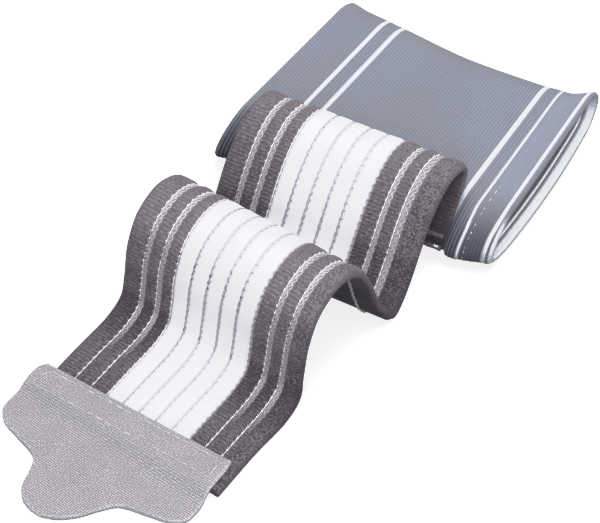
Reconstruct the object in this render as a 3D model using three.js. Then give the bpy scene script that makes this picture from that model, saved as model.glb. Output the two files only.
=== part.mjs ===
// A knitted wrist support lying open on a table: an open sleeve for the wrist, a ribbed elastic strap
// that is sewn to the sleeve's front fold and lies in two standing folds, and a three-lobed tab of hook
// tape on the strap's free end. Millimetres, +Z up, with the table at z = 0.
import * as THREE from 'three';

// Driving dimensions
const STRAP_WIDTH = 60;
const STRAP_THICK = 2.6;
const SELVEDGE_ROUND = 1.0; // how far the rounding of the strap's edges reaches in from each side
const GROOVE_DEPTH = 0.5; // between neighbouring ribs of the strap
const RIB_CREST = 0.5; // share of a rib's width that lies level
const UNDERSIDE_STEPS = 6; // facets across the strap's plain underside
const TAB_THICK = 1.4;
const TAB_DROP = 6; // the length over which the tab comes down from the strap to the table
const SLEEVE_WALL = 2.2;
const CLEARANCE = 0.3; // between pieces that lie on each other
const SLEEVE_TURN = 8.5; // degrees that the sleeve is turned to the strap's free end
const SLEEVE_SIDE = 11.46; // where the sleeve's own axes start, to the right of the strap's middle

// The strap's eleven ribs: where the grooves between them lie, as shares of the width from the middle.
const GROOVES = [-0.395, -0.307, -0.219, -0.1315, -0.044, 0.044, 0.1315, 0.219, 0.307, 0.395];

// The strap from its free end to its seam on the sleeve. along, up and side give the middle of its
// width and thickness, turn is its turn in degrees, and flare is how far its right edge spreads out.
const STRAP_ROWS = [
  { place: 'free end', along: -7.8, up: 1.3, side: 0, turn: 0, flare: 0 },
  { place: 'flat', along: 8, up: 1.3, side: 0, turn: 0, flare: 0 },
  { place: 'flat', along: 21.5, up: 1.3, side: 0, turn: 0, flare: 0.6 },
  { place: 'foot of first fold', along: 27.4, up: 4.2, side: 0, turn: 0, flare: 0.6 },
  { place: 'front wall', along: 29.8, up: 11.5, side: 0, turn: 0, flare: 0 },
  { place: 'front wall', along: 32.2, up: 22.2, side: 0, turn: 0, flare: 0 },
  { place: 'shoulder', along: 37.4, up: 30.6, side: 0, turn: 0, flare: 0 },
  { place: 'first crest', along: 46.1, up: 33.4, side: 0, turn: 0.5, flare: 0 },
  { place: 'shoulder', along: 54.2, up: 29.6, side: 0.1, turn: 1.2, flare: 0.3 },
  { place: 'back wall', along: 58.2, up: 20.5, side: 0.4, turn: 2.5, flare: 0.9 },
  { place: 'back wall', along: 59.2, up: 11, side: 1.0, turn: 5, flare: 1.6 },
  { place: 'foot of first fold', along: 59.7, up: 5, side: 1.9, turn: 7.5, flare: 2.2 },
  { place: 'valley', along: 62.4, up: 1.5, side: 2.5, turn: 8.5, flare: 2.4 },
  { place: 'foot of second fold', along: 67.6, up: 2.2, side: 1.7, turn: 8.5, flare: 2.4 },
  { place: 'front wall', along: 73.6, up: 6.4, side: 0.6, turn: 8.5, flare: 2.4 },
  { place: 'front wall', along: 77.8, up: 11.6, side: 0, turn: 8.5, flare: 2.4 },
  { place: 'shoulder', along: 83.2, up: 16.9, side: -0.9, turn: 8.5, flare: 2.4 },
  { place: 'shoulder', along: 89.8, up: 21.6, side: -1.7, turn: 8.5, flare: 2.4 },
  { place: 'second crest', along: 97.0, up: 23.8, side: -2.2, turn: 8.5, flare: 2.4 },
  { place: 'back bend', along: 103.4, up: 22.1, side: -2.0, turn: 8.5, flare: 2.4 },
  { place: 'back bend', along: 103.2, up: 18.6, side: -1.5, turn: 8.5, flare: 2.4 },
  { place: 'over the sleeve', along: 98, up: 15, side: -0.2, turn: 8.5, flare: 2.4 },
  { place: 'over the sleeve', along: 92.3, up: 10.8, side: 0.9, turn: 8.5, flare: 2.4 },
  { place: 'seam', along: 89.6, up: 7.6, side: 1.3, turn: 8.5, flare: 2.4 },
  { place: 'seam edge', along: 88.8, up: 3.8, side: 1.4, turn: 8.5, flare: 2.4 },
];
const STATIONS_PER_ROW = 2;

// The tab from its sewn edge to the tip of its middle lobe: along is its place, half is half its width,
// side is where its middle lies and skew is how far its right side lies behind its middle.
const TAB_ROWS = [
  { place: 'sewn edge', along: -0.4, half: 29.6, side: -2.2, skew: 1.8 },
  { place: 'side', along: -3, half: 30.6, side: -2.8, skew: 1.6 },
  { place: 'side', along: -9, half: 30.8, side: -2.9, skew: 0.8 },
  { place: 'side lobes', along: -15.4, half: 31.2, side: -3.0, skew: 0.4 },
  { place: 'side lobes', along: -19.2, half: 30.6, side: -3.1, skew: 0.4 },
  { place: 'side lobes', along: -22, half: 27.2, side: -3.1, skew: 0.5 },
  { place: 'side lobes', along: -23.6, half: 21.6, side: -3.1, skew: 0.5 },
  { place: 'notches', along: -25.7, half: 14.4, side: -3.3, skew: 0.5 },
  { place: 'middle lobe', along: -29.6, half: 11.4, side: -4, skew: 0.5 },
  { place: 'middle lobe', along: -34.4, half: 9.0, side: -5, skew: 0.5 },
  { place: 'middle lobe', along: -37.8, half: 5.6, side: -5.6, skew: 0.3 },
  { place: 'tip', along: -39.4, half: 1.6, side: -5.8, skew: 0 },
];
const TAB_STATIONS_PER_ROW = 3;
const TAB_SHARES = [-1, -0.5, 0, 0.5, 1]; // points across the tab, as shares of its half width

// Sections of the sleeve from the left cuff to the right one, in the sleeve's own axes. at is the share
// of its length, front and back are its two folds, high is its height, lift is how far it clears the
// table and nose is how full its front fold is: 2 is round and less is a wedge.
const SLEEVE_ROWS = [
  { place: 'left rim', at: 0, front: 89.6, back: 160, high: 13, lift: 1.0, nose: 1.5 },
  { place: 'left end of the seam', at: 0.07, front: 91.4, back: 159, high: 13.4, lift: 0.2, nose: 1.5 },
  { place: 'under the strap', at: 0.2, front: 91.4, back: 157.6, high: 13.8, lift: 0, nose: 1.5 },
  { place: 'middle', at: 0.5, front: 91.4, back: 154.8, high: 13.6, lift: 0, nose: 1.5 },
  { place: 'right end of the seam', at: 0.83, front: 91.2, back: 154.6, high: 14.2, lift: 0, nose: 1.55 },
  { place: 'right cuff', at: 0.91, front: 87.4, back: 155.2, high: 14.8, lift: 0, nose: 1.85 },
  { place: 'right rim', at: 1, front: 88.8, back: 157.6, high: 15.2, lift: 1.2, nose: 2 },
];
const SLEEVE_NOSE = 14.5; // how far the front fold's rounding reaches in
const SLEEVE_HEEL = 9; // how far the back fold's rounding reaches in
const NOSE_MIDDLE = 0.36; // share of the height at which the front fold reaches furthest out
const NOSE_UNDER = 2.4; // how full the front fold is below that
const HEEL_FULL = 2; // how full the back fold is
const SLEEVE_STATIONS = 18;
const SLEEVE_POINTS = { nose: 7, flat: 6, heel: 6 }; // points on each stretch of a section
// The rims lie askew: how far along the sleeve's axis each one lies at the front and the back fold, and
// how far the lower wall stands out past the upper one in between.
const LEFT_RIM = { front: -38.6, back: -27.6, sill: 0 };
const RIGHT_RIM = { front: 49.8, back: 53, sill: 3 };

const FINISHES = {
  wrist_sleeve: { color: 0x969eaa, roughness: 0.9, metalness: 0 },
  wrap_strap: { color: 0x75717a, roughness: 0.9, metalness: 0 },
  hook_tab: { color: 0xadacb0, roughness: 0.85, metalness: 0 },
};

// A value between the rows of a table, on a smooth curve through them. spot is 0 at the first row and
// counts one for each row.
function between(rows, column, spot) {
  const last = rows.length - 1;
  const i = Math.min(Math.floor(spot), last - 1);
  const f = spot - i;
  const [a, b, c, d] = [i - 1, i, i + 1, i + 2].map((k) => rows[Math.min(Math.max(k, 0), last)][column]);
  const slope = b * 2 + (c - a) * f + (2 * a - 5 * b + 4 * c - d) * f ** 2;
  return 0.5 * (slope + (3 * b - a - 3 * c + d) * f ** 3);
}

// The place in a table of rows where its steadily growing column has a value.
function spotOf(rows, column, value) {
  const next = rows.findIndex((row) => row[column] >= value);
  if (next <= 0) return 0;
  const [low, high] = [rows[next - 1][column], rows[next][column]];
  return next - 1 + (value - low) / (high - low);
}

// One closed mesh from rings of points. The rings join to each other in order, and the first one joins
// to the last in a tube that turns back on itself, or else the two ends are closed by the cap's triangles.
function skinned(name, rings, cap) {
  const count = rings[0].length;
  const corners = [];
  const steps = cap ? rings.length - 1 : rings.length;
  for (let i = 0; i < steps; i += 1) {
    const near = i * count;
    const far = ((i + 1) % rings.length) * count;
    for (let k = 0; k < count; k += 1) {
      const next = (k + 1) % count;
      corners.push(near + k, near + next, far + next, near + k, far + next, far + k);
    }
  }
  if (cap) {
    const end = (rings.length - 1) * count;
    for (const [a, b, c] of cap) corners.push(c, b, a, end + a, end + b, end + c);
  }
  const geometry = new THREE.BufferGeometry();
  const places = rings.flat().flatMap((point) => [...point]);
  geometry.setAttribute('position', new THREE.Float32BufferAttribute(places, 3));
  geometry.setIndex(corners);
  geometry.computeVertexNormals();
  const mesh = new THREE.Mesh(geometry, new THREE.MeshStandardMaterial(FINISHES[name]));
  mesh.name = name;
  return mesh;
}

// The strap's section: the plain underside from left to right, then the ribs from right to left. Each
// point has x across the width and y through the thickness, both from the middle.
function strapSection(flare) {
  const half = STRAP_WIDTH / 2;
  const top = STRAP_THICK / 2;
  const right = half + flare;
  const edges = [-0.5, ...GROOVES, 0.5].map((share) => share * STRAP_WIDTH);
  edges[edges.length - 1] = right;
  const points = [];
  for (let i = 0; i <= UNDERSIDE_STEPS; i += 1) {
    const share = i / UNDERSIDE_STEPS;
    const across = THREE.MathUtils.lerp(SELVEDGE_ROUND - half, right - SELVEDGE_ROUND, share);
    points.push(new THREE.Vector2(across, -top));
  }
  points.push(new THREE.Vector2(right, 0));
  for (let i = edges.length - 2; i >= 0; i -= 1) {
    const width = edges[i + 1] - edges[i];
    const middle = edges[i] + width / 2;
    const level = (width * RIB_CREST) / 2;
    points.push(new THREE.Vector2(middle + level, top), new THREE.Vector2(middle - level, top));
    if (i > 0) points.push(new THREE.Vector2(edges[i], top - GROOVE_DEPTH));
  }
  points.push(new THREE.Vector2(-half, 0));
  return points;
}

// The strap follows a smooth curve through its rows, and where it would dip below the table it lies flat.
function wrapStrap() {
  const line = new THREE.CatmullRomCurve3(
    STRAP_ROWS.map(({ side, along, up }) => new THREE.Vector3(side, along, up)),
    false,
    'centripetal',
  );
  const steps = (STRAP_ROWS.length - 1) * STATIONS_PER_ROW;
  const rings = [];
  for (let i = 0; i <= steps; i += 1) {
    const spot = i / STATIONS_PER_ROW;
    const turn = THREE.MathUtils.degToRad(between(STRAP_ROWS, 'turn', spot));
    const across = new THREE.Vector3(Math.cos(turn), Math.sin(turn), 0);
    const outward = across.clone().cross(line.getTangent(i / steps)).normalize();
    const middle = line.getPoint(i / steps);
    const section = strapSection(between(STRAP_ROWS, 'flare', spot));
    const ring = section.map(({ x, y }) => {
      const point = middle.clone().addScaledVector(across, x).addScaledVector(outward, y);
      return point.setZ(Math.max(point.z, 0));
    });
    rings.push(ring);
  }
  const cap = THREE.ShapeUtils.triangulateShape(strapSection(0), []);
  return skinned('wrap_strap', rings.reverse(), cap);
}

// The tab lies on the strap's end, then comes down to the table just past it.
function tabUnderside(along) {
  const onStrap = STRAP_THICK + CLEARANCE;
  const past = STRAP_ROWS[0].along - CLEARANCE - along;
  return onStrap * (1 - THREE.MathUtils.smoothstep(past, 0, TAB_DROP));
}

function hookTab() {
  const steps = (TAB_ROWS.length - 1) * TAB_STATIONS_PER_ROW;
  const columns = ['along', 'half', 'side', 'skew'];
  const rings = [];
  for (let i = 0; i <= steps; i += 1) {
    const spot = i / TAB_STATIONS_PER_ROW;
    const [along, half, side, skew] = columns.map((column) => between(TAB_ROWS, column, spot));
    const place = (share, rise) => {
      const back = along + share * skew;
      return new THREE.Vector3(side + share * half, back, tabUnderside(back) + rise);
    };
    const bottom = TAB_SHARES.map((share) => place(share, 0));
    const top = TAB_SHARES.map((share) => place(share, TAB_THICK)).reverse();
    rings.push([...bottom, ...top]);
  }
  const last = TAB_SHARES.length * 2 - 1;
  const cap = TAB_SHARES.slice(1).flatMap((_, k) => [
    [k, k + 1, last - k - 1],
    [k, last - k - 1, last - k],
  ]);
  return skinned('hook_tab', rings, cap);
}

// One section of the sleeve, as points with x from front to back and y up. It starts where the underside
// meets the front fold and runs round the front, over the top and round the back. inset draws it in by
// the wall's thickness.
function sleeveSection({ front, back, high, lift, nose }, inset) {
  const low = lift + inset;
  const top = lift + high - inset;
  const noseMiddle = lift + high * NOSE_MIDDLE;
  const heelMiddle = lift + high / 2;
  const [frontMost, backMost] = [front + inset, back - inset];
  const [frontEnd, backEnd] = [front + SLEEVE_NOSE, back - SLEEVE_HEEL];
  // A quarter of a fold: at share 0 it is level with a wall, and at 1 it reaches furthest out.
  const curve = (end, out, from, to, power, share) => {
    const angle = (share * Math.PI) / 2;
    const reach = Math.sin(angle) ** (2 / power);
    const rise = Math.cos(angle) ** (2 / power);
    return new THREE.Vector2(end + (out - end) * reach, to + (from - to) * rise);
  };
  const points = [];
  const { nose: nosePoints, flat, heel } = SLEEVE_POINTS;
  for (let i = 0; i < nosePoints; i += 1) {
    points.push(curve(frontEnd, frontMost, low, noseMiddle, NOSE_UNDER, i / nosePoints));
  }
  for (let i = 0; i < nosePoints; i += 1) {
    points.push(curve(frontEnd, frontMost, top, noseMiddle, nose, 1 - i / nosePoints));
  }
  for (let i = 0; i < flat; i += 1) {
    points.push(new THREE.Vector2(THREE.MathUtils.lerp(frontEnd, backEnd, i / flat), top));
  }
  for (let i = 0; i < heel; i += 1) {
    points.push(curve(backEnd, backMost, top, heelMiddle, HEEL_FULL, i / heel));
  }
  for (let i = 0; i < heel; i += 1) {
    points.push(curve(backEnd, backMost, low, heelMiddle, HEEL_FULL, 1 - i / heel));
  }
  for (let i = 0; i < flat; i += 1) {
    points.push(new THREE.Vector2(THREE.MathUtils.lerp(backEnd, frontEnd, i / flat), low));
  }
  return points;
}

// Where a rim lies along the sleeve's axis, at a share of the way from front to back and from the
// underside to the top.
function rimAt({ front, back, sill }, depth, height) {
  return THREE.MathUtils.lerp(front, back, depth) + sill * Math.sin(Math.PI * depth) * (1 - height);
}

function sleeveRing(at, inset) {
  const spot = spotOf(SLEEVE_ROWS, 'at', at);
  const row = {};
  for (const column of ['front', 'back', 'high', 'lift', 'nose']) {
    row[column] = between(SLEEVE_ROWS, column, spot);
  }
  row.lift = Math.max(row.lift, 0);
  return sleeveSection(row, inset).map(({ x, y }) => {
    const depth = (x - row.front) / (row.back - row.front);
    const height = (y - row.lift) / row.high;
    const [left, right] = [LEFT_RIM, RIGHT_RIM].map((rim) => rimAt(rim, depth, height));
    return new THREE.Vector3(THREE.MathUtils.lerp(left, right, at), x, y);
  });
}

// The sleeve's skin runs along the outside from rim to rim and back along the inside.
function wristSleeve() {
  const stations = Array.from({ length: SLEEVE_STATIONS }, (_, i) => i / (SLEEVE_STATIONS - 1));
  const outside = stations.map((at) => sleeveRing(at, 0));
  const inside = stations.map((at) => sleeveRing(at, SLEEVE_WALL)).reverse();
  const rings = [...outside, ...inside].reverse();
  const mesh = skinned('wrist_sleeve', rings, null);
  mesh.rotation.z = THREE.MathUtils.degToRad(SLEEVE_TURN);
  mesh.position.x = SLEEVE_SIDE;
  return mesh;
}

// The origin lies on the table, under the middle of the whole part.
const support = new THREE.Group();
support.add(wristSleeve(), wrapStrap(), hookTab());
support.updateMatrixWorld(true);
const middle = new THREE.Box3().setFromObject(support, true).getCenter(new THREE.Vector3());
support.position.set(-middle.x, -middle.y, 0);

export default support;
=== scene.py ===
# %% [markdown]
# # A wrist support, dressed for its picture
# The object is a knitted sleeve for the wrist with a wide elastic strap sewn to its front. The strap lies
# in two standing folds and ends in a lobed tab of hook tape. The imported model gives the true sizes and
# places. This script makes a fine cloth skin for each of its three solids, adds the threads, and lights it.

import bpy
import numpy as np
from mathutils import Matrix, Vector


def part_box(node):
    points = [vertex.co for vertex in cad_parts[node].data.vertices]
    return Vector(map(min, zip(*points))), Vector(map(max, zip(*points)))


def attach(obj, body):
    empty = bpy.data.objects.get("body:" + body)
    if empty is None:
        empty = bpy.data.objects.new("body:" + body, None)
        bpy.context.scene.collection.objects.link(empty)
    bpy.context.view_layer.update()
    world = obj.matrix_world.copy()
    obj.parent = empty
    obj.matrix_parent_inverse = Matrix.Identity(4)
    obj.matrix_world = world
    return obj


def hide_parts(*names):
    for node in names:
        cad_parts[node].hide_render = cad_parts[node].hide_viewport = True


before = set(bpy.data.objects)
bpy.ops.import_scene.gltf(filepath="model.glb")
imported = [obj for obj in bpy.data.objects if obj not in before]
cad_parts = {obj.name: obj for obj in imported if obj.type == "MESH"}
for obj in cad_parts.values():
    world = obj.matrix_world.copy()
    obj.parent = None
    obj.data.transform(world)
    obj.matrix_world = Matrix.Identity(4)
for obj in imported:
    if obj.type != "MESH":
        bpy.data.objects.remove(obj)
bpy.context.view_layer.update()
MM = 0.001
print("nodes:", sorted(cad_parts))

# %% [markdown]
# ## Camera
# A long lens far away keeps the strap's sides nearly parallel, as the photograph has them. The camera's
# place is given as a direction and a distance from the point that it looks at, which is easier to read
# and to change than a matrix.

# %% Camera
LOOK_AT = (4.59, -3.71, 15.66)
AZIMUTH = 35.59
ELEVATION = 51.61
DISTANCE = 602.2
LENS = 132.0
NEAREST = 0.01

azimuth, elevation = np.radians([AZIMUTH, ELEVATION])
back = Vector((
    np.sin(azimuth) * np.cos(elevation),
    -np.cos(azimuth) * np.cos(elevation),
    np.sin(elevation),
))
camera = bpy.data.objects.new("camera", bpy.data.cameras.new("camera"))
camera.data.lens = LENS
camera.data.clip_start = NEAREST
camera.location = (Vector(LOOK_AT) + back * DISTANCE) * MM
camera.rotation_mode = "QUATERNION"
camera.rotation_quaternion = back.to_track_quat("Z", "Y")
bpy.context.scene.collection.objects.link(camera)
bpy.context.scene.camera = camera
print("camera at", [round(x, 3) for x in camera.location])

# %% [markdown]
# ## Smooth tables
# The forms of the three cloths are short tables, a row for each fold or section. A Catmull-Rom curve goes
# through every row, so a table of a few rows gives as many points in between as the fine mesh needs.

# %% Smooth values between the rows of a table
def between(rows, column, spots):
    """A column's values at spots, which count one for each row from the first."""
    values = np.array([row[column] for row in rows], float)
    spots = np.asarray(spots, float)
    last = len(values) - 1
    i = np.clip(np.floor(spots).astype(int), 0, last - 1)
    f = spots - i
    a, b, c, d = (values[np.clip(i + k, 0, last)] for k in (-1, 0, 1, 2))
    lower = 2 * b + (c - a) * f + (2 * a - 5 * b + 4 * c - d) * f**2
    return 0.5 * (lower + (3 * b - a - 3 * c + d) * f**3)


def table(names, *rows):
    """Rows of numbers as dictionaries with named columns."""
    return [dict(zip(names.split(), row)) for row in rows]


# %% [markdown]
# ## Cloth meshes
# Every cloth here is a stack of rings: the strap's are its sections from end to end, the sleeve's run
# along its outside and back along its inside. One function makes an object from points and faces, another
# joins rings with quads. The mesh keeps each point's place on the flat cloth in millimetres, so that knit,
# stripes and weave follow the cloth through its folds. Unfolded flat, the rings are also the texture map.
# A ring closes on itself, so its last quad would reach back across the whole map. The corners that it left
# behind are moved on to the far side instead, and no two faces share a place.

# %% An object with marks and a map
MAP_NAME = "OFBake"


def cloth_object(name, points, faces, marks, corner_map=None):
    """An object from points in metres, with marks at its points and a map place for each corner."""
    mesh = bpy.data.meshes.new(name)
    mesh.from_pydata(points.reshape(-1, 3).tolist(), [], faces)
    mesh.shade_smooth()
    for mark, values in marks.items():
        attribute = mesh.attributes.new(mark, "FLOAT_VECTOR", "POINT")
        attribute.data.foreach_set("vector", np.asarray(values, np.float32).ravel())
    if corner_map is not None:
        uv = mesh.uv_layers.new(name=MAP_NAME)
        uv.data.foreach_set("uv", np.concatenate(corner_map).astype(np.float32).ravel())
    mesh.validate()
    piece = bpy.data.objects.new(name, mesh)
    bpy.context.scene.collection.objects.link(piece)
    print(f"{name}: {len(mesh.vertices)} points, {sum(len(f) - 2 for f in faces)} triangles")
    return piece


# %% Quads between rings, and their map
HALF_THE_MAP = 0.5


def ring_faces(rings, around, closed_along=False):
    """Quads between rings of the same number of points, each ring closed in itself."""
    k = np.arange(around)
    following = (k + 1) % around
    faces = []
    for i in range(rings if closed_along else rings - 1):
        near, far = i * around, (i + 1) % rings * around
        faces += np.stack([near + k, near + following, far + following, far + k], 1).tolist()
    return faces


def quad_map(layout, quads, wrap):
    """Map places for the quads' corners. A corner left far behind the others is moved on by the wrap."""
    places = layout.reshape(-1, 2)[np.array(quads)]
    left_behind = places < places.max(1, keepdims=True) - HALF_THE_MAP
    return (places + left_behind * np.array(wrap)).reshape(-1, 2)


# %% [markdown]
# ## The tab's outline
# The tab is a piece of hook tape, die-cut with three lobes and sewn on top of the strap's free end. Its
# table gives half its width at each place along it, and the solid was cut from the same table. The packed
# model puts its origin under the middle of the whole support, so the shift from these tables to the frame
# is read from the tab's own box.

# %% Tab: outline
TAB_ROWS = table(
    "along half side skew",
    (-0.4, 29.6, -2.2, 1.8),
    (-3, 30.6, -2.8, 1.6),
    (-9, 30.8, -2.9, 0.8),
    (-15.4, 31.2, -3.0, 0.4),
    (-19.2, 30.6, -3.1, 0.4),
    (-22, 27.2, -3.1, 0.5),
    (-23.6, 21.6, -3.1, 0.5),
    (-25.7, 14.4, -3.3, 0.5),
    (-29.6, 11.4, -4.0, 0.5),
    (-34.4, 9.0, -5.0, 0.5),
    (-37.8, 5.6, -5.6, 0.3),
    (-39.4, 1.6, -5.8, 0.0),
)
CAD_TAB_STEPS = 33


def on_tab(spots, shares):
    """Places on the tab, at spots in its table and shares of its half width from the middle."""
    spots, shares = np.broadcast_arrays(spots, shares)
    along, half, side, skew = (between(TAB_ROWS, c, spots) for c in ("along", "half", "side", "skew"))
    return np.stack([side + shares * half, along + shares * skew], -1)


edge_spots = np.linspace(0, len(TAB_ROWS) - 1, CAD_TAB_STEPS + 1)[:, None]
cad_tab = on_tab(edge_spots, np.array([[-1.0, 0.0, 1.0]])).reshape(-1, 2)
SHIFT = np.array([*(np.array(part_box("hook_tab")[0][:2]) / MM - cad_tab.min(0)), 0.0])
print("tables to frame, mm:", SHIFT.round(3))

# %% [markdown]
# ## The strap's path
# The strap is one flat band, so its form is a line through its middle, a turn, and a flare that lets its
# outer right rib spread at the second fold. A cloth simulation could drop the band into folds, but not into
# these ones. The line is a centripetal Catmull-Rom curve, which bends hard at the folds without looping. It
# is walked by arc length, so a knit course is as long on the flat as on a steep wall.

# %% Strap: the rows of its path
STRAP_ROWS = table(
    "along up side turn flare",
    (-7.8, 1.3, 0.0, 0.0, 0.0),
    (8.0, 1.3, 0.0, 0.0, 0.0),
    (21.5, 1.3, 0.0, 0.0, 0.6),
    (27.4, 4.2, 0.0, 0.0, 0.6),
    (29.8, 11.5, 0.0, 0.0, 0.0),
    (32.2, 22.2, 0.0, 0.0, 0.0),
    (37.4, 30.6, 0.0, 0.0, 0.0),
    (46.1, 33.4, 0.0, 0.5, 0.0),
    (54.2, 29.6, 0.1, 1.2, 0.3),
    (58.2, 20.5, 0.4, 2.5, 0.9),
    (59.2, 11.0, 1.0, 5.0, 1.6),
    (59.7, 5.0, 1.9, 7.5, 2.2),
    (62.4, 1.5, 2.5, 8.5, 2.4),
    (67.6, 2.2, 1.7, 8.5, 2.4),
    (73.6, 6.4, 0.6, 8.5, 2.4),
    (77.8, 11.6, 0.0, 8.5, 2.4),
    (83.2, 16.9, -0.9, 8.5, 2.4),
    (89.8, 21.6, -1.7, 8.5, 2.4),
    (97.0, 23.8, -2.2, 8.5, 2.4),
    (103.4, 22.1, -2.0, 8.5, 2.4),
    (103.2, 18.6, -1.5, 8.5, 2.4),
    (98.0, 15.0, -0.2, 8.5, 2.4),
    (92.3, 10.8, 0.9, 8.5, 2.4),
    (89.6, 7.6, 1.3, 8.5, 2.4),
    (88.8, 3.8, 1.4, 8.5, 2.4),
)
print(len(STRAP_ROWS), "rows along the strap")

# %% Strap: a line through the rows, walked by length
FINE_POINTS = 9601


def strap_line(spots):
    """The strap's middle at spots in its table, on a centripetal curve through the rows."""
    knots = np.array([[row["side"], row["along"], row["up"]] for row in STRAP_ROWS])
    knots = np.vstack([2 * knots[0] - knots[1], knots, 2 * knots[-1] - knots[-2]])
    i = np.clip(np.floor(spots).astype(int), 0, len(STRAP_ROWS) - 2)
    f = (spots - i)[:, None]
    a, b, c, d = (knots[i + k] for k in range(4))
    t0, t1, t2 = (np.sqrt(np.linalg.norm(q - p, axis=1))[:, None] for p, q in ((a, b), (b, c), (c, d)))
    leave = ((b - a) / t0 - (c - a) / (t0 + t1) + (c - b) / t1) * t1
    arrive = ((c - b) / t1 - (d - b) / (t1 + t2) + (d - c) / t2) * t1
    return b + leave * f + (3 * (c - b) - 2 * leave - arrive) * f**2 + (2 * (b - c) + leave + arrive) * f**3


fine_spots = np.linspace(0, len(STRAP_ROWS) - 1, FINE_POINTS)
fine_line = strap_line(fine_spots)
fine_slope = np.gradient(fine_line, axis=0)
steps = np.linalg.norm(np.diff(fine_line, axis=0), axis=1)
walked = np.concatenate([[0], np.cumsum(steps)])
STRAP_LENGTH = walked[-1]
fine_turn = np.radians(between(STRAP_ROWS, "turn", fine_spots))
fine_across = np.stack([np.cos(fine_turn), np.sin(fine_turn), 0 * fine_turn], 1)
fine_outward = np.cross(fine_across, fine_slope)
fine_outward /= np.linalg.norm(fine_outward, axis=1)[:, None]
fine_flare = between(STRAP_ROWS, "flare", fine_spots)
print(f"strap: {STRAP_LENGTH:.1f} mm long")

# %% Strap: a place for each millimetre of cloth
STRAP_WIDTH = 60.0
EDGE = STRAP_WIDTH / 2
LAST_GROOVE = 0.395 * STRAP_WIDTH


def on_strap(length, across, height):
    """Points in metres, from mm along from the free end, across from the middle and above mid-thickness."""
    length, across, height = np.broadcast_arrays(length, across, height)

    def read(values):
        return np.stack([np.interp(length, walked, v) for v in values.T], -1)

    flare = np.interp(length, walked, fine_flare)
    spread = across + np.clip(across - LAST_GROOVE, 0, None) * flare / (EDGE - LAST_GROOVE)
    points = read(fine_line) + read(fine_across) * spread[..., None] + read(fine_outward) * height[..., None]
    points[..., 2] = np.maximum(points[..., 2], 0)
    return (points + SHIFT) * MM


print("free end, mm:", (on_strap(0.0, 0.0, 0.0) / MM).round(1))

# %% [markdown]
# ## The strap's knit
# The band is warp-knitted elastic with eleven ribs: three dark ones, five white ones and three dark ones.
# Between the dark ribs lie light zigzag bands, and between the white ones fine grey lines. The columns of
# the mesh are placed around each line, so that grooves and changes of yarn fall on an edge. Each
# knit course is three rows of points, which is enough for a ridge. Courses could be left to bump, but as
# geometry they also show in the folds' outline.

# %% Strap: columns of the mesh
LINE_PITCH = 0.0877 * STRAP_WIDTH
LINES = (np.arange(10) - 4.5) * LINE_PITCH
DARK_NUMBERS = [0, 1, 8, 9]
DARK_LINES = LINES[DARK_NUMBERS]
WHITE_EDGE = LINES[7]
AROUND_LINE = np.array([-1.1, -0.7, -0.4, -0.1, 0.15, 0.5, 0.9, 1.3, 1.55, 1.95, 2.6, 3.5])
LEFT_COLUMNS = [-29.5, -28.9, -27.8, -26.6, -25.6]
RIGHT_COLUMNS = [28.0, 29.0]
columns = np.concatenate([LEFT_COLUMNS, (LINES[:, None] + AROUND_LINE).ravel(), RIGHT_COLUMNS])
print(len(columns), "columns around", len(LINES), "lines")

# %% Strap: which yarn lies where
YARN_CHANGE = 0.12
RIGHT_CHANGE = (1.0, -0.25)
BAND_STARTS, BAND_ENDS = (-0.15, 0.2), (1.65, 1.25)


def smooth(low, high, values):
    """A soft step from 0 at low to 1 at high. It falls where high is the smaller number."""
    t = np.clip((values - low) / (high - low), 0, 1)
    return t * t * (3 - 2 * t)


def strap_yarn(across):
    """How white the cloth is at a place across it, and how much of the light zigzag band is there."""
    left_edge = smooth(-YARN_CHANGE, YARN_CHANGE, across + WHITE_EDGE)
    right_edge = smooth(*RIGHT_CHANGE, across - WHITE_EDGE)
    band = np.zeros_like(across)
    for line in DARK_LINES:
        band += smooth(*BAND_STARTS, across - line) * smooth(*BAND_ENDS, across - line)
    return left_edge * right_edge, band


print("white columns:", int(strap_yarn(columns)[0].sum()))

# %% Strap: relief of its face
STRAP_THICK = 2.6
HALF_THICK = STRAP_THICK / 2
COURSE = 1.11
RIB_PUFF = 0.1
DARK_GROOVE = {"deep": 0.7, "starts": (-1.1, -0.1), "ends": (2.5, 1.5)}
WHITE_GROOVE = {"deep": 0.45, "starts": (-1.0, 0.0), "ends": (1.0, 0.0)}
DARK_COURSE, WHITE_COURSE = 0.085, 0.02
SLACK = 0.05
SLACK_WAVES = ((9.1, 7.3), (5.3, -4.1))
EDGE_ROUND, EDGE_DROP = 1.6, 0.5


def strap_height(length, across):
    """The face of the strap above mid-thickness: grooves, puffed ribs, knit courses and a little slack."""
    height = np.full(np.broadcast(length, across).shape, HALF_THICK + RIB_PUFF)
    for number, line in enumerate(LINES):
        groove = DARK_GROOVE if number in DARK_NUMBERS else WHITE_GROOVE
        offset = across - line
        height = height - groove["deep"] * smooth(*groove["starts"], offset) * smooth(*groove["ends"], offset)
    white, band = strap_yarn(across)
    ridge = DARK_COURSE + (WHITE_COURSE - DARK_COURSE) * white
    height = height + np.cos(2 * np.pi * length / COURSE) * ridge * (1 - band)
    height = height + SLACK * sum(np.sin(length / a + across / b) for a, b in SLACK_WAVES)
    return height - EDGE_DROP * smooth(EDGE - EDGE_ROUND, EDGE, np.abs(across))


face_range = strap_height(0.0, columns)
print(f"face {face_range.min():.2f} to {face_range.max():.2f} mm above mid-thickness")
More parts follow.
